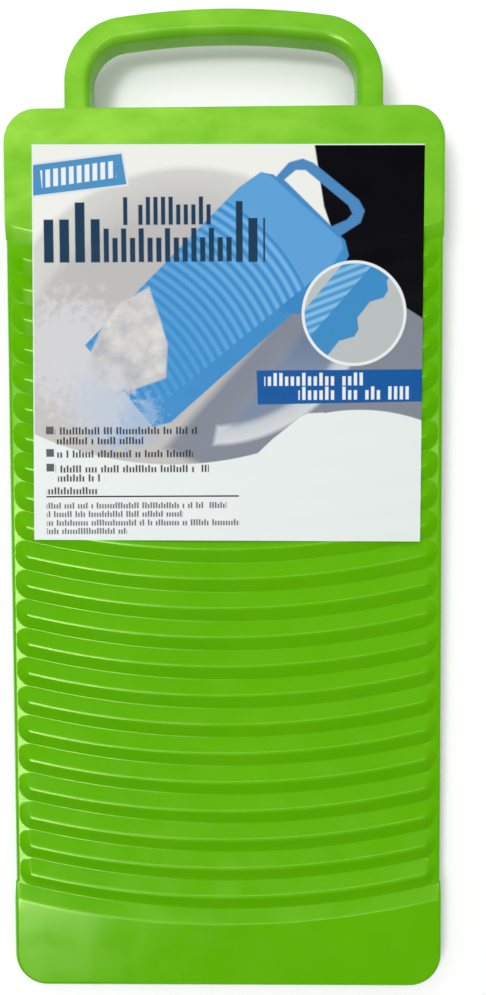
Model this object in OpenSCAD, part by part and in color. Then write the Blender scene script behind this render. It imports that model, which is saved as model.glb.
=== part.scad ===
// Hand washboard of moulded plastic. It lies face up: X is its width, +Y points from the foot to
// the handle, +Z out of the washing face. The origin is under the middle of the whole outline,
// level with the tips of the rim hooks.

/* [Board] */
// Width of the board
board_w = 146.1; // [140:0.1:155]
// Length of the board without its handle
board_l = 296.7; // [290:0.1:305]
// Height of the washing face above the hook tips
deck_top = 15.2; // [14:0.1:18]
// Height of the lower edge of the outer walls above the hook tips
skirt_z = 6.4; // [5.5:0.1:8]
// Radius of the four corners, seen from above
corner_r = 11; // [8:0.1:14]
// Thickness of every moulded wall
wall_t = 1.6; // [1.4:0.1:1.8]

/* [Ridges] */
// Number of washing ridges
ridge_count = 22; // [18:1:22]
// Distance from one ridge to the next
ridge_pitch = 9.94; // [9.6:0.01:10]
// Height of a ridge above the valleys
ridge_h = 2; // [1.6:0.1:2.2]
// Radius of the rounded ridge tip
ridge_tip_r = 2.4; // [2.2:0.1:2.8]
// Width of the flat floor between two ridges
valley_w = 0.5; // [0.4:0.1:0.8]
// Radius of the arc that every ridge follows
ridge_arc_r = 290.5; // [280:0.5:320]
// Distance from the handle end of the board to the first valley, on the centre line
first_valley = 51.9; // [50:0.1:54]

/* [Rim hooks] */
// Distance from the handle end of the board to the stop face of the upper hooks
hook_first = 52.9; // [50:0.1:56]
// Distance between the two hook levels
hook_pitch = 32; // [28:0.5:36]
// Distance from a hook's stop face to where its ramp runs out
hook_l = 27; // [25:0.5:27]
// Radius of the hollow ramp behind a hook
ramp_r = 37; // [35:0.5:40]
// Radius of a hook's leading corner
hook_nose_r = 1.2; // [0.8:0.1:2]

/* [Handle] */
// Width across the handle
handle_w = 105.6; // [95:0.1:115]
// How far the handle stands out from the board
handle_reach = 32.1; // [30:0.1:40]
// Width of the handle bar
bar_w = 8.2; // [7.5:0.1:9.5]
// Height of the front of the handle
handle_top = 14.2; // [13:0.1:15]
// Outer radius of the handle's corners
handle_corner_r = 21; // [18:0.5:22]
// Outer radius of the arched grip
handle_arch_r = 250; // [180:5:300]
// Radius of the bar's outer front edge
bar_edge_r = 1.2; // [0.8:0.1:1.6]
// Radius of the bar's inner front edge, where the fingers close round it
grip_edge_r = 3; // [1.5:0.1:3.2]

/* [Label] */
// Width of the printed label
label_w = 129.2; // [100:0.1:135]
// Length of the printed label
label_l = 130.6; // [100:0.1:140]
// Thickness of the label
label_t = 0.15; // [0.1:0.05:0.3]
// Distance from the handle end of the board to the label
label_gap = 12.8; // [10:0.1:20]
// How far the label sits to the right of the centre line
label_shift = 0.9; // [-2:0.1:2]

/* [Hidden] */
$fn = 96;
// Every cutter reaches this far past what it cuts
past = 0.2;
// Facets of the widest arcs where they are shown as a mesh
fine = 720;

head_y = (board_l - handle_reach) / 2;
foot_y = head_y - board_l;
inner_x = board_w / 2 - wall_t;
ledge_z = deck_top - ridge_h;
// The rounded top edge stops just short of the wall's inner face
edge_r = wall_t - 0.1;

// A ridge's cross-section is measured from its centre line and from the valley floor
half_pitch = ridge_pitch / 2;
ridge_half = half_pitch - valley_w / 2;
tip_z = ridge_h - ridge_tip_r;
// Slope of the two flanks, which run tangent to the rounded tip
flank_slope = asin(ridge_tip_r / norm([ridge_half, tip_z])) - atan2(-tip_z, ridge_half);
hollow_r = ridge_tip_r - wall_t;
hollow_half = (hollow_r + (wall_t + past + tip_z) * cos(flank_slope)) / sin(flank_slope);

// The head plate ends in one ridge flank, the foot plate in another
head_arc_y = head_y - first_valley + half_pitch + ridge_arc_r;
foot_arc_y = head_arc_y - (ridge_count + 1) * ridge_pitch;
end_x = inner_x - ridge_half - 0.1;
end_a = asin(end_x / ridge_arc_r);
// The rounded ends are a little smaller than the ridges they close, and start a little inside them
end_scale = 0.98;
end_sink = 0.3;
// Half of the angle that holds a whole plate, seen from the centre of its arc
plate_a = 25;
ledge_head_y = head_arc_y - sqrt(pow(ridge_arc_r + ridge_half, 2) - inner_x * inner_x);
ledge_foot_y = foot_arc_y - sqrt(pow(ridge_arc_r - ridge_half, 2) - inner_x * inner_x);
plate_head_y = head_arc_y - sqrt(pow(ridge_arc_r, 2) - inner_x * inner_x);
plate_foot_y = foot_arc_y - sqrt(pow(ridge_arc_r, 2) - inner_x * inner_x);

// The centre of a handle corner lies where its arc runs tangent into the arched grip
arch_y = head_y + handle_reach - handle_arch_r;
bend_x = handle_w / 2 - handle_corner_r;
bend_y = arch_y + sqrt(pow(handle_arch_r - handle_corner_r, 2) - bend_x * bend_x);
arch_a = atan2(bend_x, bend_y - arch_y);

// A ramp's last stretch, thinner than paper, is left off
ramp_end = 3;

// Half of a ridge's outline, from the centre line to the valley, sunk into the sheet below
module ridge_half_outline() {
    polygon([
        [0, -wall_t / 2], [ridge_half, -wall_t / 2], [ridge_half, 0],
        [ridge_tip_r * sin(flank_slope), tip_z + ridge_tip_r * cos(flank_slope)],
        [0, tip_z + ridge_tip_r * cos(flank_slope)]
    ]);
    intersection() {
        translate([0, tip_z]) circle(ridge_tip_r);
        square([ridge_tip_r * sin(flank_slope), ridge_h]);
    }
}

// Half of the hollow under a ridge, one wall thickness inside the outline
module ridge_half_hollow() {
    polygon([
        [0, -wall_t - past], [hollow_half, -wall_t - past],
        [hollow_r * sin(flank_slope), tip_z + hollow_r * cos(flank_slope)],
        [0, tip_z + hollow_r * cos(flank_slope)]
    ]);
    intersection() {
        translate([0, tip_z]) circle(hollow_r);
        translate([0, tip_z]) square([hollow_r * sin(flank_slope), hollow_r]);
    }
}

// Sweeps the half outline given as the child along one ridge, and rounds both ends
module ridge_sweep(arc_y) {
    translate([0, arc_y, ledge_z])
        rotate([0, 0, -90 - end_a])
            rotate_extrude(angle = 2 * end_a, $fn = fine)
                translate([ridge_arc_r, 0]) {
                    children();
                    mirror([1, 0]) children();
                }
    for (side = [-1, 1])
        translate([side * end_x, arc_y - ridge_arc_r * cos(end_a), ledge_z])
            rotate([0, 0, side * (end_a - 90)])
                translate([0, -end_sink, 0])
                    rotate_extrude(angle = 180) scale(end_scale) children();
}

// Sheet that carries the ridges, between the flanks of the two plates
module ridge_sheet() {
    translate([0, 0, ledge_z - wall_t])
        linear_extrude(wall_t)
            difference() {
                intersection() {
                    translate([-inner_x, foot_y]) square([2 * inner_x, board_l]);
                    translate([0, foot_arc_y]) circle(ridge_arc_r - ridge_half, $fn = fine);
                }
                translate([0, head_arc_y]) circle(ridge_arc_r + ridge_half, $fn = fine);
            }
}

module washing_panel() {
    color("limegreen")
        difference() {
            union() {
                ridge_sheet();
                for (i = [1:ridge_count])
                    ridge_sweep(head_arc_y - i * ridge_pitch) ridge_half_outline();
            }
            for (i = [1:ridge_count])
                ridge_sweep(head_arc_y - i * ridge_pitch) ridge_half_hollow();
        }
}

// Section of a plate and of the flank it ends in, from the plate outwards
module plate_section() {
    difference() {
        union() {
            translate([-first_valley, ridge_h - wall_t]) square([first_valley + past, wall_t]);
            translate([0, -wall_t]) square([ridge_half, wall_t]);
            ridge_half_outline();
        }
        ridge_half_hollow();
    }
}

// Everything inside the outer walls, up to the washing face
module inner_block() {
    r = corner_r - wall_t;
    linear_extrude(deck_top + past)
        union() {
            translate([-inner_x, foot_y + corner_r])
                square([2 * inner_x, board_l - 2 * corner_r]);
            translate([r - inner_x, foot_y + wall_t])
                square([2 * (inner_x - r), board_l - 2 * wall_t]);
            for (x = [-1, 1], y = [foot_y + corner_r, head_y - corner_r])
                translate([x * (inner_x - r), y]) circle(r);
        }
}

module head_plate() {
    color("limegreen")
        intersection() {
            inner_block();
            translate([0, head_arc_y, ledge_z])
                rotate([0, 0, -90 - plate_a])
                    rotate_extrude(angle = 2 * plate_a, $fn = fine)
                        translate([ridge_arc_r, 0]) plate_section();
        }
}

module foot_plate() {
    color("limegreen")
        intersection() {
            inner_block();
            translate([0, foot_arc_y, ledge_z])
                rotate([0, 0, -90 - plate_a])
                    rotate_extrude(angle = 2 * plate_a, $fn = fine)
                        translate([ridge_arc_r, 0]) mirror([1, 0]) plate_section();
        }
}

// Section of the outer wall, from its outer face inwards, with a rounded top edge
module rim_section() {
    difference() {
        translate([0, skirt_z]) square([wall_t, deck_top - skirt_z]);
        translate([0, deck_top - edge_r]) edge_cut(edge_r);
    }
}

// What a rounded edge of radius r takes off a square corner at [0, r]
module edge_cut(r) {
    difference() {
        translate([-past, 0]) square([r + past, r + past]);
        translate([r, 0]) circle(r);
    }
}

// End wall between two rounded corners, at the handle end
module end_wall() {
    straight = board_w / 2 - corner_r;
    color("limegreen")
        translate([-straight, head_y, 0])
            rotate([90, 0, 90])
                linear_extrude(2 * straight) mirror([1, 0]) rim_section();
}

// Rounded corner of the outer wall, on the right at the handle end
module corner() {
    color("limegreen")
        translate([board_w / 2 - corner_r, head_y - corner_r, 0])
            rotate_extrude(angle = 90)
                translate([corner_r, 0]) mirror([1, 0]) rim_section();
}

// Turns a piece of the handle end into the same piece of the foot end
module at_foot() {
    translate([0, head_y + foot_y, 0]) mirror([0, 1, 0]) children();
}

module head_wall() {
    end_wall();
}

module foot_wall() {
    at_foot() end_wall();
}

module head_right_corner() {
    corner();
}

module head_left_corner() {
    mirror([1, 0, 0]) corner();
}

module foot_right_corner() {
    at_foot() corner();
}

module foot_left_corner() {
    at_foot() mirror([1, 0, 0]) corner();
}

// Side wall on the right: high beside the plates, low beside the ridges
module side_wall() {
    color("limegreen")
        difference() {
            translate([inner_x, 0, 0])
                rotate([90, 0, 90])
                    linear_extrude(wall_t)
                        polygon([
                            [foot_y + corner_r, skirt_z], [head_y - corner_r, skirt_z],
                            [head_y - corner_r, deck_top], [plate_head_y, deck_top],
                            [ledge_head_y, ledge_z], [ledge_foot_y, ledge_z],
                            [plate_foot_y, deck_top], [foot_y + corner_r, deck_top]
                        ]);
            side_edge_cut(plate_head_y, head_y - corner_r);
            side_edge_cut(foot_y + corner_r, plate_foot_y);
        }
}

// Rounds the right-hand top edge from one place along the board to another
module side_edge_cut(from_y, to_y) {
    translate([board_w / 2, from_y, deck_top - edge_r])
        rotate([90, 0, 0])
            translate([0, 0, from_y - to_y])
                linear_extrude(to_y - from_y) mirror([1, 0]) edge_cut(edge_r);
}

module right_side_wall() {
    side_wall();
}

module left_side_wall() {
    mirror([1, 0, 0]) side_wall();
}

// Rim hook on the right: a steep stop face toward the foot and a hollow ramp behind it
module hook(level) {
    color("limegreen")
        translate([inner_x, head_y - hook_first - level * hook_pitch, 0])
            rotate([90, 0, 90])
                linear_extrude(wall_t)
                    difference() {
                        square([hook_l - ramp_end, skirt_z]);
                        translate([hook_l, skirt_z - ramp_r]) circle(ramp_r, $fn = fine);
                        translate([0, hook_nose_r]) mirror([0, 1]) edge_cut(hook_nose_r);
                    }
}

module right_upper_hook() {
    hook(0);
}

module left_upper_hook() {
    mirror([1, 0, 0]) hook(0);
}

module right_lower_hook() {
    hook(1);
}

module left_lower_hook() {
    mirror([1, 0, 0]) hook(1);
}

// Section of the handle bar, from its outer face inwards: a channel that is open at the back
module bar_section() {
    difference() {
        translate([0, skirt_z]) square([bar_w, handle_top - skirt_z]);
        translate([0, handle_top - bar_edge_r]) edge_cut(bar_edge_r);
        translate([bar_w, handle_top - grip_edge_r]) mirror([1, 0]) edge_cut(grip_edge_r);
        translate([wall_t, skirt_z - past])
            square([bar_w - 2 * wall_t, handle_top - skirt_z - wall_t + past]);
    }
}

module handle_grip() {
    color("limegreen")
        translate([0, arch_y, 0])
            rotate([0, 0, 90 - arch_a])
                rotate_extrude(angle = 2 * arch_a, $fn = fine)
                    translate([handle_arch_r, 0]) mirror([1, 0]) bar_section();
}

// Bend on the right, between the leg and the arched grip
module handle_bend() {
    color("limegreen")
        translate([bend_x, bend_y, 0])
            rotate_extrude(angle = 90 - arch_a)
                translate([handle_corner_r, 0]) mirror([1, 0]) bar_section();
}

module right_handle_bend() {
    handle_bend();
}

module left_handle_bend() {
    mirror([1, 0, 0]) handle_bend();
}

// Leg on the right, from the board's end wall to the bend
module handle_leg() {
    color("limegreen")
        translate([handle_w / 2, bend_y, 0])
            rotate([90, 0, 0])
                linear_extrude(bend_y - head_y) mirror([1, 0]) bar_section();
}

module right_handle_leg() {
    handle_leg();
}

module left_handle_leg() {
    mirror([1, 0, 0]) handle_leg();
}

module label() {
    color("white")
        translate([label_shift - label_w / 2, head_y - label_gap - label_l, deck_top])
            cube([label_w, label_l, label_t]);
}

washing_panel();
head_plate();
foot_plate();
head_wall();
foot_wall();
left_side_wall();
right_side_wall();
head_left_corner();
head_right_corner();
foot_left_corner();
foot_right_corner();
left_upper_hook();
right_upper_hook();
left_lower_hook();
right_lower_hook();
handle_grip();
left_handle_bend();
right_handle_bend();
left_handle_leg();
right_handle_leg();
label();
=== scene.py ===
"""Looks of the moulded washboard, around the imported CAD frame.

Lengths are in millimetres up to the point where a mesh, a light or the camera is made.
X is the board's width, +Y runs from the foot to the handle, +Z out of the washing face.
"""
import math

import bpy
from mathutils import Matrix, Vector


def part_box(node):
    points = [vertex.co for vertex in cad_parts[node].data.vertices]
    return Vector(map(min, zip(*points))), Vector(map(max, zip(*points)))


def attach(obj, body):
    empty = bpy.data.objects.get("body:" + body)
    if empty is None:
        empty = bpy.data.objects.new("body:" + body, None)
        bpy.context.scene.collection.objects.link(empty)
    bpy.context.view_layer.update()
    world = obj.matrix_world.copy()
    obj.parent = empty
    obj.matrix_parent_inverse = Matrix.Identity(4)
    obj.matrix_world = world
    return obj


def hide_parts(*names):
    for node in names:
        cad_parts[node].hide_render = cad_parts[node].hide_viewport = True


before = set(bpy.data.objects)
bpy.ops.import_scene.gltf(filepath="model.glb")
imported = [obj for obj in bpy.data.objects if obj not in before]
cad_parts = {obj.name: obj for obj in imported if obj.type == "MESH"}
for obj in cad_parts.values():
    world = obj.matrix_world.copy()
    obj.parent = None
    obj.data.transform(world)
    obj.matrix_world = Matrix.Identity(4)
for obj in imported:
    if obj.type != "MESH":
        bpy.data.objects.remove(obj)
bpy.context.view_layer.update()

MM = 0.001

# Places taken from the frame
deck_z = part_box("head_wall")[1].z / MM
skirt_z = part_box("head_wall")[0].z / MM
half_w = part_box("right_side_wall")[1].x / MM
inner_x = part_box("right_side_wall")[0].x / MM
head_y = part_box("head_wall")[1].y / MM
foot_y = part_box("foot_wall")[0].y / MM
corner_r = head_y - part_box("head_right_corner")[0].y / MM
wall_t = half_w - inner_x
inner_r = corner_r - wall_t

# Ridges: number, spacing, height, tip radius, half the width at the valley, radius seen from above
RIDGES = 22
PITCH = 9.94
RIDGE_H = 2.0
TIP_R = 1.8
RIDGE_HALF = 4.78
ARC_R = 290.5
# From the board's upper end to the first valley, on the centre line
FIRST_VALLEY = 51.9
# Length over which a ridge's end rises, and how square the end is, seen from above
END_RUN = 4.5
END_POWER = 2.0
# Gap between a ridge's end and the inside of the outer wall
END_GAP = 0.1

# Radii of the plates' rim, of the ledge's rim beside the ridges, and of the steps between them
PLATE_EDGE_R = wall_t
LEDGE_EDGE_R = 1.5
STEP_CORNER_R = 3.0

ledge_z = deck_z - RIDGE_H
lobe_x = inner_x - END_GAP
first_arc_y = head_y - FIRST_VALLEY + PITCH / 2 + ARC_R
# Angle of a ridge's straight flanks, which touch its round tip
slope = (math.asin(TIP_R / math.hypot(RIDGE_HALF, RIDGE_H - TIP_R))
         - math.atan2(TIP_R - RIDGE_H, RIDGE_HALF))


def arc_y(i):
    """Centre of the arc of ridge i. 0 is the head plate's edge and RIDGES + 1 the foot plate's."""
    return first_arc_y - i * PITCH


def section(t):
    """Height of a ridge above the valley, t to the side of its crest."""
    t = abs(t)
    if t < TIP_R * math.sin(slope):
        return RIDGE_H - TIP_R + math.sqrt(TIP_R ** 2 - t ** 2)
    return max(0.0, (RIDGE_HALF - t) * math.tan(slope))


def edge_drop(d, r):
    """How far a rounded edge of radius r lies below its face, d in from the outline."""
    if d >= r:
        return 0.0
    return r - math.sqrt(r ** 2 - (r - d) ** 2)


def plate_drop(past_crest, from_side):
    """How far the surface lies below a plate, beyond the crest line where its flank begins."""
    back = edge_drop(from_side, STEP_CORNER_R)
    t = past_crest + back
    run = RIDGE_HALF + back
    if t <= 0:
        return 0.0
    if t >= run:
        return RIDGE_H
    return RIDGE_H - section(t * RIDGE_HALF / run)


def height(x, y, d):
    """Height of the washing face at x, y, which lies d in from the outline."""
    from_side = half_w - abs(x)
    head_t = math.hypot(x, y - arc_y(0)) - ARC_R
    foot_t = ARC_R - math.hypot(x, y - arc_y(RIDGES + 1))
    drop = min(plate_drop(head_t, from_side), plate_drop(foot_t, from_side))
    if drop < RIDGE_H:
        rounded = edge_drop(d, PLATE_EDGE_R)
        low = RIDGE_H + edge_drop(d, LEDGE_EDGE_R)
        return deck_z - min(low, math.hypot(drop, rounded))
    return ledge_z - edge_drop(d, LEDGE_EDGE_R) + ridge(x, y)


def ridge(x, y):
    """Height of the nearest ridge above the valley at x, y."""
    sag = ARC_R - math.sqrt(ARC_R ** 2 - x ** 2)
    i = round((arc_y(0) - ARC_R + sag - y) / PITCH)
    i = min(max(i, 1), RIDGES)
    t = abs(math.hypot(x, y - arc_y(i)) - ARC_R) / RIDGE_HALF
    from_tip = lobe_x - abs(x)
    end = max(0.0, (END_RUN - from_tip) / END_RUN)
    inset = (t ** END_POWER + end ** END_POWER) ** (1 / END_POWER)
    return section(RIDGE_HALF * inset)


def make_mesh(name, vertices, faces, smooth_below=20):
    """A smooth-shaded object from vertices in millimetres. Edges over smooth_below degrees stay sharp."""
    mesh = bpy.data.meshes.new(name)
    mesh.from_pydata([Vector(v) * MM for v in vertices], [], faces)
    mesh.validate()
    mesh.shade_smooth()
    mesh.set_sharp_from_angle(angle=math.radians(smooth_below))
    piece = bpy.data.objects.new(name, mesh)
    bpy.context.scene.collection.objects.link(piece)
    return piece


# ---------------------------------------------------------------- the board's shell

# Stations across one flank, from crest to valley
FLANK = (0.0, 0.25, 0.5, 0.76, 1.2, 1.8, 2.4, 3.0, 3.6, 4.1, 4.5, 4.78)
# Stations over the rounded rim, counted inwards from the outline
RIM = (1.25, 0.9, 0.6, 0.45, 0.3, 0.18, 0.09, 0.03, 0.0)
# Columns of vertices over each end of the ridges and END_MARGIN more, and between the ends
END_COLUMNS = 14
END_MARGIN = 1.2
MIDDLE_COLUMNS = 34
# Rows of vertices: round each corner, over the head plate and over the foot plate
CORNER_ROWS = 12
HEAD_ROWS = 8
FOOT_ROWS = 5
# Narrow strip of plate along the line where its flank begins, which keeps the rest of the plate flat
PLATE_STRIP = 0.3


def spread(start, end, steps):
    """Evenly spaced numbers from start to end."""
    return [start + (end - start) * k / steps for k in range(steps + 1)]


def deck_columns():
    """Stations across the board, close together where the ridges end."""
    ends = spread(lobe_x - END_RUN - END_MARGIN, lobe_x, END_COLUMNS) + [inner_x]
    middle = spread(-ends[0], ends[0], MIDDLE_COLUMNS)
    return [-x for x in reversed(ends)] + middle[1:-1] + ends


def level(y):
    """A straight row: the same y at every x."""
    return lambda x: y


def on_arc(i, t):
    """y at x, on the arc that runs t to the foot's side of crest i."""
    return lambda x: arc_y(i) - math.sqrt((ARC_R + t) ** 2 - x ** 2)


def corner_row(straight_y, side, angle):
    """A row that meets both rounded corners at this angle. side is 1 at the head and -1 at the foot."""
    y = straight_y + side * inner_r * math.sin(angle)
    return (level(y), inner_x - inner_r + inner_r * math.cos(angle), side * angle)


def plate_row(start, end, k, steps):
    """A row on a plate, k of steps on the way from row start to row end."""
    return (lambda x: start(x) + (end(x) - start(x)) * k / steps, inner_x, 0)


def deck_rows():
    """Every row of the deck from head to foot: a function that gives y at x, half-width, outward angle."""
    straight_head = head_y - corner_r
    straight_foot = foot_y + corner_r
    turn = [math.radians(a) for a in spread(90, 0, CORNER_ROWS)]
    plate_flank = (-PLATE_STRIP,) + FLANK
    last = RIDGES + 1
    rows = [corner_row(straight_head, 1, a) for a in turn]
    rows += [plate_row(level(straight_head), on_arc(0, 0), k, HEAD_ROWS) for k in range(1, HEAD_ROWS)]
    rows += [(on_arc(0, t), inner_x, 0) for t in plate_flank]
    for i in range(1, last):
        rows += [(on_arc(i, -t), inner_x, 0) for t in reversed(FLANK[1:])]
        rows += [(on_arc(i, t), inner_x, 0) for t in FLANK]
    rows += [(on_arc(last, -t), inner_x, 0) for t in reversed(plate_flank)]
    rows += [plate_row(on_arc(last, 0), level(straight_foot), k, FOOT_ROWS) for k in range(1, FOOT_ROWS)]
    rows += [corner_row(straight_foot, -1, a) for a in reversed(turn)]
    return rows


def deck_edge(rows, across):
    """The outer vertices of the deck as one loop, each with its outward direction in degrees."""
    count = len(rows)
    last = (count - 1) * across
    loop = [(c, 90.0) for c in range(across - 1)]
    loop += [(r * across + across - 1, math.degrees(rows[r][2])) for r in range(count - 1)]
    loop += [(last + c, -90.0) for c in range(across - 1, 0, -1)]
    loop += [(r * across, 180 - math.degrees(rows[r][2])) for r in range(count - 1, 0, -1)]
    return loop


def add_ring(vertices, loop, inwards, z=None):
    """Adds a ring of vertices inwards of the outline, on the washing face or else at height z."""
    ring = []
    for v, angle in loop:
        x = vertices[v][0] + (wall_t - inwards) * math.cos(math.radians(angle))
        y = vertices[v][1] + (wall_t - inwards) * math.sin(math.radians(angle))
        ring.append(len(vertices))
        vertices.append((x, y, height(x, y, inwards) if z is None else z))
    return ring


def board_shell():
    """The moulding without its handle and hooks: washing face, rounded rim, outer walls, hollow back."""
    columns = deck_columns()
    rows = deck_rows()
    across = len(columns)
    top = []
    for y_at, width, _ in rows:
        for column in columns:
            x = column * width / inner_x
            y = y_at(x)
            top.append((x, y, height(x, y, wall_t)))
    vertices = top + [(x, y, z - wall_t) for x, y, z in top]
    faces = []
    for r in range(len(rows) - 1):
        for a in range(r * across, (r + 1) * across - 1):
            faces.append((a, a + across, a + across + 1, a + 1))
    faces += [tuple(len(top) + v for v in reversed(f)) for f in faces]

    loop = deck_edge(rows, across)
    rings = [[v for v, _ in loop]]
    rings += [add_ring(vertices, loop, inwards) for inwards in RIM]
    rings += [add_ring(vertices, loop, inwards, skirt_z) for inwards in (0.0, wall_t)]
    rings.append([len(top) + v for v, _ in loop])
    for inner, outer in zip(rings, rings[1:]):
        for k in range(len(loop)):
            n = (k + 1) % len(loop)
            faces.append((inner[k], inner[n], outer[n], outer[k]))
    return make_mesh("board_shell", vertices, faces)


# ---------------------------------------------------------------- handle

HANDLE_CORNER_R = 21.0
ARCH_R = 250.0
LEG_WIDTH = 8.6
GRIP_WIDTH = 8.05
# The bar's section: radii of its outer and inner front edges, rise of its face, corners of its channel
BAR_OUTER_R = 1.2
BAR_INNER_R = 3.0
BAR_CROWN = 0.2
CHANNEL_EASE = 0.5
# Steps over the bar's outer edge, its crowned face and its inner edge
OUTER_STEPS = 6
CROWN_STEPS = 6
INNER_STEPS = 12
# The foot of a leg flares by this radius, and by this share of it on the inner side
FLARE_R = 1.3
INNER_FLARE = 0.8
# Stations along a leg, counted from the board's end, and the number of steps round a bend and half the arch
LEG_STATIONS = (-0.8, 0.0, 0.3, 0.6, 0.9, 1.3, 2.5, 4.5)
BEND_STEPS = 16
ARCH_STEPS = 12

handle_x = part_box("right_handle_leg")[1].x / MM
handle_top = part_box("handle_grip")[1].y / MM
handle_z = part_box("handle_grip")[1].z / MM
arch_y = handle_top - ARCH_R
bend_x = handle_x - HANDLE_CORNER_R
bend_y = arch_y + math.sqrt((ARCH_R - HANDLE_CORNER_R) ** 2 - bend_x ** 2)
arch_angle = math.atan2(bend_x, bend_y - arch_y)


def handle_path():
    """The right half of the handle's outer face, from the board up: x, y, inward direction, width."""
    path = [(handle_x, head_y + y, math.pi, LEG_WIDTH) for y in LEG_STATIONS]
    turn = math.pi / 2 - arch_angle
    for k in range(BEND_STEPS + 1):
        angle = turn * k / BEND_STEPS
        x = bend_x + HANDLE_CORNER_R * math.cos(angle)
        y = bend_y + HANDLE_CORNER_R * math.sin(angle)
        width = LEG_WIDTH + (GRIP_WIDTH - LEG_WIDTH) * k / BEND_STEPS
        path.append((x, y, angle + math.pi, width))
    for k in range(1, ARCH_STEPS + 1):
        angle = turn + arch_angle * k / ARCH_STEPS
        x = ARCH_R * math.cos(angle)
        y = arch_y + ARCH_R * math.sin(angle)
        path.append((x, y, angle + math.pi, GRIP_WIDTH))
    return path


def quarter(across, up, radius, start, steps):
    """Points of a clockwise quarter turn round (across, up), from the angle start."""
    angles = [start - math.pi / 2 * k / steps for k in range(steps + 1)]
    return [(across + radius * math.cos(a), up + radius * math.sin(a)) for a in angles]


def handle_section(width, flare):
    """The bar's section as (distance from the outer face, height), a channel open at the back."""
    low = -flare
    high = width + INNER_FLARE * flare
    flat_start = low + BAR_OUTER_R
    flat_end = high - BAR_INNER_R
    points = [(low, skirt_z)]
    points += quarter(flat_start, handle_z - BAR_CROWN - BAR_OUTER_R, BAR_OUTER_R, math.pi, OUTER_STEPS)
    for f in spread(0, 1, CROWN_STEPS)[1:-1]:
        points.append((flat_start + (flat_end - flat_start) * f, handle_z - BAR_CROWN * (1 - f) ** 2))
    points += quarter(flat_end, handle_z - BAR_INNER_R, BAR_INNER_R, math.pi / 2, INNER_STEPS)
    roof = handle_z - wall_t
    points += [(high, skirt_z), (high - wall_t, skirt_z)]
    points += [(high - wall_t, handle_z - BAR_INNER_R), (high - BAR_INNER_R, roof)]
    points += [(low + wall_t + CHANNEL_EASE, roof), (low + wall_t, roof - CHANNEL_EASE)]
    points.append((low + wall_t, skirt_z))
    return points


def handle_flare(y):
    """How far the foot of a leg spreads, y beyond the board's end."""
    y = min(max(y, 0.0), FLARE_R)
    return FLARE_R - math.sqrt(FLARE_R ** 2 - (FLARE_R - y) ** 2)


def make_handle():
    """The loop handle: its section swept along its path, with closed ends inside the board."""
    half = handle_path()
    path = half + [(-x, y, math.pi - direction, width) for x, y, direction, width in reversed(half[:-1])]
    vertices = []
    for x, y, direction, width in path:
        for inwards, z in handle_section(width, handle_flare(y - head_y)):
            vertices.append((x + inwards * math.cos(direction), y + inwards * math.sin(direction), z))
    around = len(vertices) // len(path)
    faces = []
    for i in range(len(path) - 1):
        for j in range(around):
            k = (j + 1) % around
            faces.append((i * around + j, i * around + k, (i + 1) * around + k, (i + 1) * around + j))
    faces.append(tuple(reversed(range(around))))
    faces.append(tuple(range(len(vertices) - around, len(vertices))))
    return make_mesh("handle", vertices, faces, smooth_below=40)


# ---------------------------------------------------------------- rim hooks

# Radius of a hook's nose, run and radius of its ramp, and how far its lower edges are eased
HOOK_NOSE_R = 1.2
RAMP_RUN = 27.0
RAMP_R = 37.0
HOOK_EASE = 0.3
NOSE_STEPS = 6
RAMP_STEPS = 18


def hook_profile(length):
    """(y, z) round a hook, from the top of its stop face. y runs from that face towards the handle."""
    points = [(0.0, skirt_z)]
    for k in range(NOSE_STEPS + 1):
        angle = math.pi + math.pi / 2 * k / NOSE_STEPS
        points.append((HOOK_NOSE_R * (1 + math.cos(angle)), HOOK_NOSE_R * (1 + math.sin(angle))))
    start = RAMP_RUN - math.sqrt(RAMP_R ** 2 - (RAMP_R - skirt_z) ** 2)
    for y in spread(start, length, RAMP_STEPS):
        points.append((y, skirt_z - RAMP_R + math.sqrt(RAMP_R ** 2 - (RAMP_RUN - y) ** 2)))
    points.append((length, skirt_z))
    return points


def make_hook(node):
    """A hook where its CAD node is, with its lower edges eased."""
    low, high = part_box(node)
    left, right = low.x / MM, high.x / MM
    sides = [(left, HOOK_EASE), (left + HOOK_EASE, 0.0), (right - HOOK_EASE, 0.0), (right, HOOK_EASE)]
    profile = hook_profile((high.y - low.y) / MM)
    vertices = []
    for x, lift in sides:
        for y, z in profile:
            if y < RAMP_RUN / 2:
                y = max(y, lift)
            vertices.append((x, low.y / MM + y, min(z + lift, skirt_z)))
    n = len(profile)
    faces = []
    for i in range(len(sides) - 1):
        for j in range(n):
            k = (j + 1) % n
            faces.append(((i + 1) * n + j, (i + 1) * n + k, i * n + k, i * n + j))
    faces.append(tuple(range(n)))
    faces.append(tuple(reversed(range(len(vertices) - n, len(vertices)))))
    return make_mesh("rim_hook_" + node.removesuffix("_hook"), vertices, faces, smooth_below=40)


# ---------------------------------------------------------------- label

LABEL_TURN = math.radians(-0.45)
LABEL_SAG = 0.1
LABEL_COLUMNS = 44
LABEL_ROWS = 130


def label_sink(x, y):
    """How far the film sinks between the ridges at x, y. On the head plate it lies flat."""
    below_plate = arc_y(0) - math.sqrt(ARC_R ** 2 - x ** 2) - y
    if below_plate <= 0:
        return 0.0
    return LABEL_SAG * (1 - math.cos(2 * math.pi * below_plate / PITCH)) / 2


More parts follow.
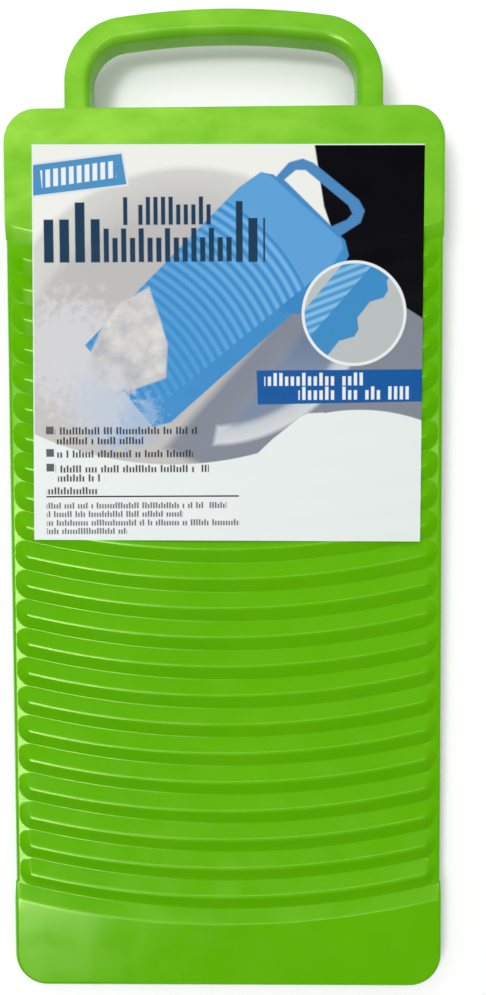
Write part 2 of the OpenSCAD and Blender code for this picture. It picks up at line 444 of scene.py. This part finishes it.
def make_label():
    """A film that lies on the head plate and sinks very slightly between the ridges."""
    low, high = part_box("label")
    size = (high - low) / MM
    centre = (low + high) / 2 / MM
    top = []
    for j in range(LABEL_ROWS + 1):
        for i in range(LABEL_COLUMNS + 1):
            u = size.x * (i / LABEL_COLUMNS - 0.5)
            v = size.y * (j / LABEL_ROWS - 0.5)
            x = centre.x + u * math.cos(LABEL_TURN) - v * math.sin(LABEL_TURN)
            y = centre.y + u * math.sin(LABEL_TURN) + v * math.cos(LABEL_TURN)
            top.append((x, y, deck_z + size.z - label_sink(x, y)))
    under = [(x, y, z - size.z) for x, y, z in top]

    across = LABEL_COLUMNS + 1
    faces = []
    for j in range(LABEL_ROWS):
        for a in range(j * across, j * across + LABEL_COLUMNS):
            faces.append((a, a + 1, a + across + 1, a + across))
    faces += [tuple(len(top) + v for v in reversed(f)) for f in faces]
    edge = list(range(across))
    edge += [j * across + LABEL_COLUMNS for j in range(1, LABEL_ROWS + 1)]
    edge += [LABEL_ROWS * across + i for i in range(LABEL_COLUMNS - 1, -1, -1)]
    edge += [j * across for j in range(LABEL_ROWS - 1, 0, -1)]
    for a, b in zip(edge, edge[1:] + edge[:1]):
        faces.append((len(top) + a, len(top) + b, b, a))
    return make_mesh("label_film", top + under, faces)


# ---------------------------------------------------------------- materials

# How bright a white sheet looks in this light, 1 being the screen's white
LIGHT_LEVEL = 1.16


def linear(value):
    """The light behind a screen value of 0 to 255, by the sRGB curve."""
    value = value / 255
    if value < 0.04045:
        return value / 12.92
    return ((value + 0.055) / 1.055) ** 2.4


def seen(*colour):
    """Reflectance of a surface that shows as this colour, 0 to 255, in the photograph's light."""
    return tuple(linear(c) / LIGHT_LEVEL for c in colour) + (1,)


class Nodes:
    """A material's node tree, with short calls for the nodes used here."""

    def __init__(self, name):
        self.material = bpy.data.materials.new(name)
        self.material.use_nodes = True
        self.tree = self.material.node_tree
        self.shader = self.tree.nodes["Principled BSDF"]
        self.place = self.tree.nodes.new("ShaderNodeTexCoord").outputs["Object"]

    def new(self, kind, inputs=(), **settings):
        """A node of this kind, with values or sockets for some of its inputs."""
        node = self.tree.nodes.new(kind)
        for key, value in settings.items():
            setattr(node, key, value)
        for key, value in dict(inputs).items():
            self.put(node.inputs[key], value)
        return node

    def put(self, socket, value):
        """Links another socket to this one, or sets its value."""
        if isinstance(value, bpy.types.NodeSocket):
            self.tree.links.new(value, socket)
        else:
            socket.default_value = value

    def math(self, operation, *values, clamp=False):
        """One arithmetic step on numbers or sockets."""
        node = self.new("ShaderNodeMath", enumerate(values), operation=operation, use_clamp=clamp)
        return node.outputs[0]

    def noise(self, size, detail, stretch=(1, 1, 1)):
        """Noise with features about size millimetres across."""
        scaled = self.new("ShaderNodeVectorMath", {0: self.place, 1: stretch}, operation="MULTIPLY")
        inputs = {"Vector": scaled.outputs[0], "Scale": 1 / (size * MM), "Detail": detail}
        return self.new("ShaderNodeTexNoise", inputs).outputs["Fac"]

    def ramp(self, value, start, end, low, high, kind="LINEAR"):
        """Turns start to end of value into low to high."""
        inputs = {"Value": value, "From Min": start, "From Max": end, "To Min": low, "To Max": high}
        return self.new("ShaderNodeMapRange", inputs, interpolation_type=kind).outputs["Result"]

    def spread(self, value, low, high):
        """Turns the usual span of noise, 0.3 to 0.7, into low to high."""
        return self.ramp(value, 0.3, 0.7, low, high)

    def mix(self, factor, a, b):
        """Colour a where factor is 0, b where it is 1."""
        return self.new("ShaderNodeMix", {0: factor, 6: a, 7: b}, data_type="RGBA").outputs[2]

    def bump(self, height, distance, below=None):
        """A normal for a relief distance millimetres deep, on top of the relief below."""
        inputs = {"Height": height, "Distance": distance * MM}
        if below is not None:
            inputs["Normal"] = below
        return self.new("ShaderNodeBump", inputs).outputs["Normal"]


# Colours of the plastic: two that it varies between, and a paler green for the painted reflection, a sheen
# painted over the board's head
DEEP_GREEN = (0.088, 0.365, 0.0005, 1)
FRESH_GREEN = (0.112, 0.41, 0.0015, 1)
PAINTED_SHEEN_GREEN = (0.33, 0.68, 0.07, 1)
GLOSS_TINT = (0.85, 1.0, 0.45, 1)


def head_painted_sheen(n):
    """Strength of the painted sheen, a painted reflection over the head plate and the handle: patchy,
    fading to the right and down the walls.
    """
    parts = n.new("ShaderNodeSeparateXYZ", {0: n.place}).outputs
    along = n.ramp(parts["Y"], 82 * MM, 100 * MM, 0.0, 1.0, "SMOOTHSTEP")
    across = n.ramp(parts["X"], -30 * MM, 75 * MM, 0.6, 0.25, "SMOOTHSTEP")
    up = n.ramp(parts["Z"], 13.5 * MM, 14.8 * MM, 0.5, 1.0)
    patches = n.spread(n.noise(11, 4, (0.7, 1.3, 1)), 0.55, 1.3)
    return n.math("MULTIPLY", n.math("MULTIPLY", along, across), n.math("MULTIPLY", patches, up))


def green_plastic():
    """Glossy moulded plastic with a slightly wavy skin and a painted sheen, standing in for a reflection,
    over the board's head.
    """
    n = Nodes("green_plastic")
    body = n.mix(n.noise(26, 2), DEEP_GREEN, FRESH_GREEN)
    waves = n.bump(n.noise(16, 1), 0.1)
    grain = n.bump(n.noise(0.8, 2), 0.002, below=waves)
    # Base colour turns paler where the painted sheen lies: a painted reflection on the head plate and
    # handle
    n.put(n.shader.inputs["Base Color"], n.mix(head_painted_sheen(n), body, PAINTED_SHEEN_GREEN))
    n.put(n.shader.inputs["Roughness"], n.spread(n.noise(9, 4), 0.13, 0.24))
    n.put(n.shader.inputs["Normal"], grain)
    n.put(n.shader.inputs["IOR"], 1.49)
    n.put(n.shader.inputs["Specular Tint"], GLOSS_TINT)
    return n.material


class Print(Nodes):
    """A printed picture made of flat shapes. A shape is a distance in millimetres, positive inside."""

    # Strokes are counted from here, left of everything printed
    FAR_LEFT = 500
    # Step of the random seed from stroke to stroke
    SEED_STEP = 1.37
    # Share of the strokes that are gaps, share that are gaps or short, and how much the tall ones rise
    GAPS = 0.12
    SHORT_STROKES = 0.62
    STROKE_RISE = 0.28

    def __init__(self, name, ground):
        super().__init__(name)
        parts = self.new("ShaderNodeSeparateXYZ", {0: self.place}).outputs
        self.x = self.math("MULTIPLY", parts["X"], 1 / MM)
        self.y = self.math("MULTIPLY", parts["Y"], 1 / MM)
        self.colour = ground

    def along(self, dx, dy, offset):
        """dx * x + dy * y + offset."""
        return self.math("MULTIPLY_ADD", self.x, dx, self.math("MULTIPLY_ADD", self.y, dy, offset))

    def both(self, *shapes):
        """Where all the shapes overlap."""
        inside = shapes[0]
        for shape in shapes[1:]:
            inside = self.math("MINIMUM", inside, shape)
        return inside

    def either(self, *shapes):
        """Where there is at least one of the shapes."""
        inside = shapes[0]
        for shape in shapes[1:]:
            inside = self.math("MAXIMUM", inside, shape)
        return inside

    def polygon(self, *points):
        """A convex polygon, its points clockwise."""
        sides = []
        for (ax, ay), (bx, by) in zip(points, points[1:] + points[:1]):
            length = math.hypot(bx - ax, by - ay)
            dx, dy = (by - ay) / length, (ax - bx) / length
            sides.append(self.along(dx, dy, -dx * ax - dy * ay))
        return self.both(*sides)

    def box(self, left, low, right, high):
        """An upright rectangle."""
        return self.polygon((left, low), (left, high), (right, high), (right, low))

    def outside(self, shape):
        """Everything that is not the shape."""
        return self.math("MULTIPLY", shape, -1.0)

    def disc(self, x, y, radius):
        """A disc of this radius round x, y."""
        offset = {0: self.math("SUBTRACT", self.x, x), 1: self.math("SUBTRACT", self.y, y)}
        away = self.new("ShaderNodeCombineXYZ", offset).outputs[0]
        length = self.new("ShaderNodeVectorMath", {0: away}, operation="LENGTH").outputs["Value"]
        return self.math("SUBTRACT", radius, length)

    def stems(self, pitch, share):
        """Upright strokes that stand in for print: share of each pitch is ink."""
        wave = self.math("PINGPONG", self.math("ADD", self.x, self.FAR_LEFT), pitch / 2)
        return self.math("SUBTRACT", share * pitch / 2, wave)

    def greeked(self, left, low, right, high, pitch, share=0.56):
        """A line of strokes of uneven height in place of lettering, with gaps like those between words."""
        start = self.math("ADD", self.x, self.FAR_LEFT + pitch / 2)
        index = self.math("FLOOR", self.math("DIVIDE", start, pitch))
        seed = self.math("MULTIPLY_ADD", index, self.SEED_STEP, low)
        chance = self.new("ShaderNodeTexWhiteNoise", {"W": seed}, noise_dimensions="1D").outputs["Value"]
        tall = self.math("GREATER_THAN", chance, self.SHORT_STROKES)
        rise = self.STROKE_RISE * (high - low)
        below_top = self.math("SUBTRACT", self.math("MULTIPLY_ADD", tall, rise, high - rise), self.y)
        # Far inside for a stroke, far outside for a gap
        word = self.math("MULTIPLY_ADD", self.math("GREATER_THAN", chance, self.GAPS), 100.0, -50.0)
        return self.both(self.box(left, low, right, high), below_top, word, self.stems(pitch, share))

    def paint(self, inside, colour, soft, strength=1.0):
        """Lays colour over the picture inside a shape, with an edge that is soft millimetres wide."""
        factor = self.math("MULTIPLY_ADD", inside, 1 / soft, 0.5, clamp=True)
        if strength != 1.0:
            factor = self.math("MULTIPLY", factor, strength)
        self.colour = self.mix(factor, self.colour, colour)


NAVY = seen(22, 56, 84)
INK_WHITE = seen(228, 234, 238)
INK_DARK = seen(36, 36, 42)
INK_GREY = seen(78, 80, 86)
INSET_BLUE = seen(58, 136, 192)


def print_scene(ink):
    """The picture's background: a grey basin on white, a dark corner, foam at the lower left."""
    ink.paint(ink.disc(-12, 46, 66), seen(206, 206, 201), 2.5)
    ink.paint(ink.disc(-10, 36, 62), seen(190, 187, 184), 3)
    ink.paint(ink.disc(-14, 62, 44), seen(182, 180, 180), 12, 0.7)
    side = ink.polygon((12, 4), (-20, 20), (18, 62), (42, 82), (72, 62), (72, 4))
    ink.paint(side, seen(126, 132, 144), 3)
    hollow = ink.disc(-6, 78, 51)
    rim = ink.both(ink.disc(-4, 74, 53), ink.outside(hollow), ink.along(1, -0.2, 8), ink.along(0, -1, 66))
    ink.paint(rim, seen(212, 215, 217), 1.5)
    well = ink.both(hollow, ink.along(1, -0.75, 17))
    ink.paint(well, seen(101, 119, 149), 4)
    ink.paint(ink.both(well, ink.along(0, -1, 49)), seen(134, 148, 168), 16, 0.8)
    dark_corner = ink.polygon((29, 125), (72, 125), (72, 58), (39.9, 79), (33, 99))
    ink.paint(dark_corner, seen(5, 5, 12), 0.5)
    foam = ink.spread(ink.noise(3, 5), -7, 7)
    ink.paint(ink.math("ADD", ink.disc(-52, 52, 17), foam), seen(204, 204, 206), 10)
    ink.paint(ink.math("ADD", ink.disc(-36, 31, 9), foam), seen(152, 180, 212), 9)


def print_board(ink):
    """The small washboard in the picture, seen at a slant, with its handle and hooks."""
    loop = ink.polygon((17, 108.5), (21.5, 113.4), (26, 114.6), (29.5, 113.2),
                       (44.5, 101), (46.4, 97.5), (45, 93.6), (36.6, 88.3))
    hole = ink.polygon((20, 107.8), (23.8, 110.9), (27, 110.8), (41, 99.3),
                       (42.3, 96.6), (40.5, 94.6), (35.5, 92.5))
    ink.paint(ink.both(loop, ink.outside(hole)), seen(72, 132, 186), 0.5)
    wall = ink.polygon((12.3, 110.3), (16.5, 109.5), (39.9, 88), (41.2, 83), (38.5, 78),
                       (-18, 28.5), (-24, 27), (-46.3, 54.2), (4.9, 105.2))
    ink.paint(wall, seen(58, 137, 196), 0.4)
    for x, y in ((33.6, 73.6), (25.4, 66.4)):
        hook = ink.polygon((x - 6, y + 5), (x + 3, y + 5), (x + 2.2, y - 1),
                           (x - 0.6, y - 2.4), (x - 7.5, y - 1.5))
        ink.paint(hook, seen(54, 130, 190), 0.4)
    face = ink.polygon((12.3, 110.3), (15.5, 109.2), (38.6, 88.2), (39.2, 85.4), (36.2, 80.6),
                       (-25.6, 31), (-46.3, 54.2), (4.9, 105.2))
    ink.paint(face, small_ridges(ink), 0.5)


def small_ridges(ink):
    """Colour of the small board's face: curved ridges, lit near the foot, and a plain plate at the head."""
    from_head = ink.along(-0.744, -0.668, 88.5)
    across = ink.along(-0.668, 0.744, -55)
    curved = ink.math("MULTIPLY_ADD", ink.math("MULTIPLY", across, across), -0.008, from_head)
    ridges = ink.math("SINE", ink.math("MULTIPLY", curved, 2 * math.pi / 3.1))
    lit = ink.spread(ink.math("MULTIPLY_ADD", ridges, 0.2, 0.5), 0, 1)
    near_head = ink.math("MULTIPLY_ADD", curved, -1 / 60, 1.1, clamp=True)
    crest = ink.mix(near_head, seen(72, 150, 206), seen(124, 184, 228))
    relief = ink.mix(lit, seen(54, 134, 196), crest)
    plate = ink.math("MULTIPLY_ADD", ink.math("SUBTRACT", 17.0, curved), 1.2, 0.5, clamp=True)
    return ink.mix(plate, relief, seen(90, 157, 210))


def print_cloth(ink):
    """A crumpled white cloth on the small board, and foam over its lower end."""
    cloth = ink.polygon((-40.6, 60.1), (-34.6, 68), (-24.9, 73.2), (-21.6, 63.6), (-18.9, 54.4),
                        (-19.5, 43.2), (-30.3, 39.4), (-39.8, 39.5), (-46.4, 48.0))
    folds = ink.mix(ink.spread(ink.noise(6, 3), 0, 1), seen(216, 215, 211), seen(176, 176, 180))
    ink.paint(cloth, folds, 0.8)
    foam = ink.spread(ink.noise(1.8, 5), -4, 4)
    ink.paint(ink.math("ADD", ink.disc(-42, 35, 11), foam), seen(194, 199, 208), 6, 0.8)
    ink.paint(ink.math("ADD", ink.disc(-27, 31, 5), foam), seen(160, 184, 212), 5, 0.6)


def print_inset(ink):
    """A round inset that shows the hooked edge close up."""
    ink.paint(ink.disc(42.9, 64.1, 17.3), seen(226, 231, 232), 0.25)
    inner = ink.disc(42.9, 64.1, 16.3)
    ink.paint(inner, seen(182, 187, 187), 0.25)
    wall = ink.polygon((26, 60), (47, 84), (55, 84), (55.5, 77), (31.5, 47), (26, 47))
    ink.paint(ink.both(inner, wall), INSET_BLUE, 0.3)
    for x, y in ((50.5, 70.5), (40.8, 57.8)):
        hook = ink.polygon((x - 6, y + 4), (x + 3, y + 6), (x + 3.6, y + 1),
                           (x + 1.0, y - 3.2), (x - 2.2, y - 2.6), (x - 7, y - 4))
        ink.paint(ink.both(inner, hook), INSET_BLUE, 0.3)
    face = ink.polygon((22, 60), (44, 86), (49, 80), (27, 55))
    lines = ink.math("MULTIPLY_ADD", ink.math("SINE", ink.along(-0.9, 2.4, 0)), 0.5, 0.5)
    ink.paint(ink.both(inner, face), ink.mix(lines, seen(66, 144, 200), seen(132, 186, 222)), 0.3)


def print_panel(ink):
    """The white panel at the foot of the label, below a long hollow curve that swings up into a hump."""
    below = ink.both(ink.outside(ink.disc(-17, 125, 110.5)), ink.along(-1, 0, 16))
    rise = ink.polygon((11, 15), (11, 19), (16, 22.9), (22, 28.6),
                       (27.5, 31.2), (33, 31.5), (33, 10), (20, 8))
    hump = ink.both(ink.disc(44.5, -30, 62.3), ink.along(1, 0, -27))
    foot = ink.along(0, -1, 14)
    ink.paint(ink.either(below, rise, hump, foot), seen(225, 231, 229), 0.4)


def print_banners(ink):
    """Two tilted blue banners with strokes on them, and the large strokes between them."""
    border = ink.polygon((-66, 113.6), (-33, 117.5), (-31.2, 106.2), (-66, 102.3))
    ink.paint(border, seen(214, 222, 226), 0.2)
    field = ink.polygon((-66, 112.9), (-33.6, 116.7), (-32, 106.8), (-66, 103.0))
    ink.paint(field, seen(74, 141, 190), 0.2)
    line = ink.polygon((-60.5, 111.5), (-36, 114.4), (-35.3, 109), (-60, 105.8))
    ink.paint(ink.both(line, ink.stems(2.6, 0.6)), INK_WHITE, 0.25)
    ink.paint(ink.greeked(-59.8, 81.4, -41.0, 101, 5.2, 0.62), NAVY, 0.3)
    ink.paint(ink.greeked(-35.5, 93.5, -3.6, 102.6, 2.5), NAVY, 0.3)
    ink.paint(ink.greeked(-40.2, 81.4, 2.8, 92.4, 2.9, 0.6), NAVY, 0.3)
    ink.paint(ink.greeked(4.0, 81.2, 13.6, 101, 4.9, 0.62), NAVY, 0.3)
    ink.paint(ink.polygon((11.2, 44), (12, 31.6), (67, 33), (67, 44)), seen(4, 66, 132), 0.25)
    ink.paint(ink.polygon((10.6, 45.5), (67, 45.6), (67, 35), (11, 34.2)), seen(2, 84, 154), 0.25)
    ink.paint(ink.greeked(13.2, 40.4, 46.4, 44.6, 1.9), INK_WHITE, 0.25)
    ink.paint(ink.greeked(24.5, 35.7, 61.7, 40, 1.9), INK_WHITE, 0.25)


def print_lines(ink):
    """Bullets, a rule and lines of small strokes, each given by its ends and its height."""
    for y in (26, 18.5, 13.6):
        ink.paint(ink.box(-59.8, y - 1.3, -57.2, y + 1.3), seen(86, 86, 92), 0.2)
    listed = ((-56.7, -8.9, 25.8), (-56.5, -27.3, 22.5), (-56.7, -10.7, 18.1),
              (-56.7, -5.4, 13.1), (-56, -40.5, 10.1), (-59.8, -42.6, 5.8))
    for left, right, y in listed:
        ink.paint(ink.greeked(left, y - 1.2, right, y + 1.2, 1.05), INK_DARK, 0.3)
    ink.paint(ink.box(-59.9, 3.6, 4.6, 4.1), seen(30, 30, 34), 0.15)
    for right, y in ((0.4, 0.85), (-14.2, -2.0), (4.6, -4.9), (-33, -7.7)):
        ink.paint(ink.greeked(-59.9, y - 1.0, right, y + 1.0, 0.9), INK_GREY, 0.3)


def print_margin(ink):
    """A thin white line along the label's left and upper edges."""
    margin = 0.4
    low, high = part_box("label")
    centre = (low + high) / 2 / MM
    reach = (high - low) / 2 / MM
    for angle, half in ((LABEL_TURN + math.pi, reach.x), (LABEL_TURN + math.pi / 2, reach.y)):
        dx, dy = math.cos(angle), math.sin(angle)
        edge = ink.along(dx, dy, margin - half - dx * centre.x - dy * centre.y)
        ink.paint(edge, seen(228, 234, 234), 0.15)


def label_print():
    """Smooth printed film. Later shapes lie over earlier ones."""
    ink = Print("label_print", seen(231, 233, 226))
    print_scene(ink)
    print_board(ink)
    print_cloth(ink)
    print_inset(ink)
    print_panel(ink)
    print_banners(ink)
    print_lines(ink)
    print_margin(ink)
    ink.put(ink.shader.inputs["Base Color"], ink.colour)
    ink.put(ink.shader.inputs["Roughness"], ink.spread(ink.noise(12, 3), 0.36, 0.46))
    ink.put(ink.shader.inputs["Normal"], ink.bump(ink.noise(18, 2), 0.06))
    ink.put(ink.shader.inputs["Specular IOR Level"], 0.12)
    return ink.material


# ---------------------------------------------------------------- pieces

plastic = green_plastic()
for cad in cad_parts.values():
    cad.data.materials.clear()
    cad.data.materials.append(plastic)


def finish_piece(piece, material, slot, *nodes):
    """Gives a piece its material, parents it to the root body and hides the CAD nodes that it stands for.
    """
    piece.data.materials.append(material)
    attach(piece, "root")
    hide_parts(*nodes)


finish_piece(board_shell(), plastic, "plastic",
             "washing_panel", "head_plate", "foot_plate",
             "head_wall", "foot_wall", "left_side_wall", "right_side_wall",
             "head_left_corner", "head_right_corner", "foot_left_corner", "foot_right_corner")
finish_piece(make_handle(), plastic, "plastic",
             "handle_grip", "left_handle_bend", "right_handle_bend", "left_handle_leg", "right_handle_leg")
for hook_node in ("left_upper_hook", "left_lower_hook", "right_upper_hook", "right_lower_hook"):
    finish_piece(make_hook(hook_node), plastic, "plastic", hook_node)
finish_piece(make_label(), label_print(), "label", "label")

# ---------------------------------------------------------------- floor, light and camera

FLOOR_HALF = 3000
# Gap that keeps the floor from cutting the hooks
FLOOR_GAP = 0.02
# Height of the panels that show in reflections
PANEL_Z = 1200
# Brightness of the surroundings, which light the board but don't show in its gloss
WORLD_LEVEL = 0.42
# The camera stands almost straight above the board: turns in radians and place in millimetres
CAMERA_ROLL = 0.00396
CAMERA_TURN = -0.011824
CAMERA_TILT = 0.035394
CAMERA_PLACE = (8.78, 11.83, 255.2)


def make_floor():
    """A pale floor. The board lies on its lower hooks and its foot's edge, so the floor slopes under it."""
    rest_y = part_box("right_lower_hook")[0].y / MM + HOOK_NOSE_R
    tilt = math.atan2(skirt_z, rest_y - foot_y)
    corners = [(-FLOOR_HALF, -FLOOR_HALF, 0), (FLOOR_HALF, -FLOOR_HALF, 0),
               (FLOOR_HALF, FLOOR_HALF, 0), (-FLOOR_HALF, FLOOR_HALF, 0)]
    floor = make_mesh("floor", corners, [(0, 1, 2, 3)])
    under_hooks = Matrix.Translation((0, rest_y * MM, -FLOOR_GAP * MM))
    floor.matrix_world = under_hooks @ Matrix.Rotation(-tilt, 4, "X")
    paper = Nodes("floor_paper")
    shade = paper.mix(paper.noise(60, 2), (0.88, 0.88, 0.885, 1), (0.9, 0.9, 0.9, 1))
    paper.put(paper.shader.inputs["Base Color"], shade)
    paper.put(paper.shader.inputs["Roughness"], 0.75)
    floor.data.materials.append(paper.material)


def area_light(name, place, aim, size, power, glossy, diffuse):
    """A rectangular light. glossy and diffuse say whether it shows in reflections and whether it lights."""
    data = bpy.data.lights.new(name, "AREA")
    data.shape = "RECTANGLE"
    data.size = size[0] * MM
    data.size_y = size[1] * MM
    data.energy = power
    light = bpy.data.objects.new(name, data)
    bpy.context.scene.collection.objects.link(light)
    light.location = Vector(place) * MM
    light.rotation_euler = (Vector(aim) - Vector(place)).to_track_quat("-Z", "Y").to_euler()
    light.visible_glossy = glossy
    light.visible_diffuse = diffuse


def reflected_panel(name, x, y, radiance):
    """A bright panel overhead, from x[0] to x[1] and y[0] to y[1], that only shows in reflections."""
    size = (x[1] - x[0], y[1] - y[0])
    middle = ((x[0] + x[1]) / 2, (y[0] + y[1]) / 2)
    power = math.pi * radiance * size[0] * MM * size[1] * MM
    area_light(name, (*middle, PANEL_Z), (*middle, 0), size, power, True, False)


def make_world():
    """Pale surroundings that fill the shadows."""
    world = bpy.data.worlds.new("studio")
    bpy.context.scene.world = world
    world.use_nodes = True
    background = world.node_tree.nodes["Background"]
    background.inputs["Color"].default_value = (1, 1, 1, 1)
    background.inputs["Strength"].default_value = WORLD_LEVEL
    world.cycles_visibility.glossy = False
    bpy.context.scene.view_settings.view_transform = "Standard"


def make_camera():
    """A phone's main camera close above the board."""
    data = bpy.data.cameras.new("camera")
    data.sensor_width = 36
    data.lens = 26.0
    camera = bpy.data.objects.new("camera", data)
    bpy.context.scene.collection.objects.link(camera)
    lean = (Matrix.Rotation(CAMERA_ROLL, 4, "Z")
            @ Matrix.Rotation(CAMERA_TURN, 4, "Y")
            @ Matrix.Rotation(CAMERA_TILT, 4, "X"))
    camera.matrix_world = Matrix.Translation(Vector(CAMERA_PLACE) * MM) @ lean.transposed()
    bpy.context.scene.camera = camera


make_floor()
area_light("key", (-470, 90, 1200), (0, 0, 0), (340, 340), 6.0, False, True)
area_light("sky", (-80, 560, 1400), (0, 0, 0), (2000, 2000), 17.5, False, True)
reflected_panel("window", (-640, -300), (-860, -20), 14)
reflected_panel("window_end", (-640, -300), (-20, 200), 3)
reflected_panel("window_side", (-300, -120), (-600, 100), 3)
reflected_panel("ceiling", (-120, 520), (-120, 20), 0.5)
reflected_panel("lamp", (-250, 560), (20, 110), 6)
reflected_panel("near_window", (-700, -330), (-1300, -900), 0.4)
make_world()
make_camera()
